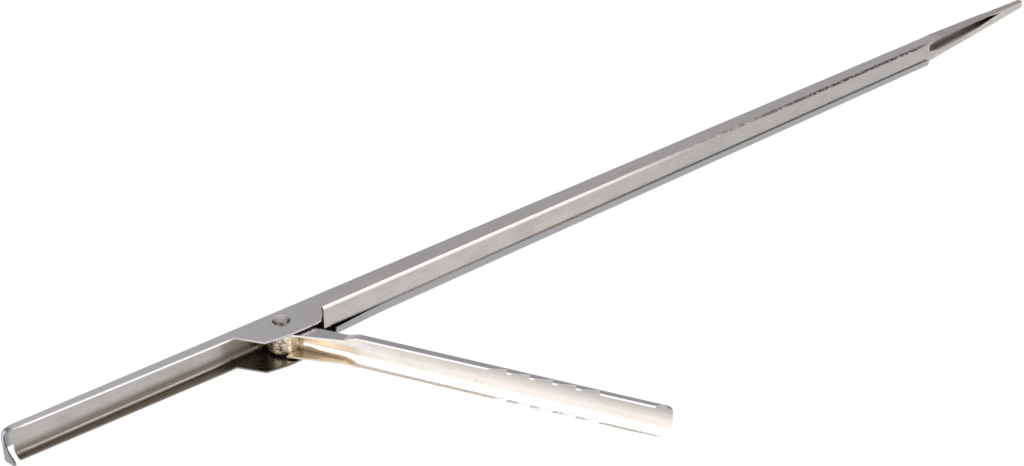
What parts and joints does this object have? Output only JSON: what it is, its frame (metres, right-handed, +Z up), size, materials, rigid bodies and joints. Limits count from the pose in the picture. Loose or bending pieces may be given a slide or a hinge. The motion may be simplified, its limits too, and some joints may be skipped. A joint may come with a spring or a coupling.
{
  "type": "larding needle",
  "caption": "Long folded steel larding needle with an open tail trough and a hinged, toothed clamp lever that grips a strip of fat.",
  "frame": {"origin": "pivot axis of the lever at the underside of the needle", "axes": "+X along the needle towards its point, +Z up along the pivot, the open side of the tail trough faces -Y"},
  "size_m": [0.2492, 0.057, 0.0059],
  "materials": {
    "needle_steel": "satin folded stainless sheet with fine lengthwise draw marks",
    "lever_steel": "satin folded stainless sheet, a little brighter than the needle",
    "rivet_steel": "turned steel, dull on the shank and worn bright on the head"
  },
  "bodies": {
    "needle": {"needle_body": "needle_steel", "pivot_rivet": "rivet_steel"},
    "lever": {"clamp_lever": "lever_steel"}
  },
  "joints": [
    {"name": "lever_hinge", "type": "hinge", "parent": "needle", "child": "lever", "pos_m": [0, 0, 0.0026], "axis": [0, 0, 1], "range_deg": [-113, 30]}
  ]
}
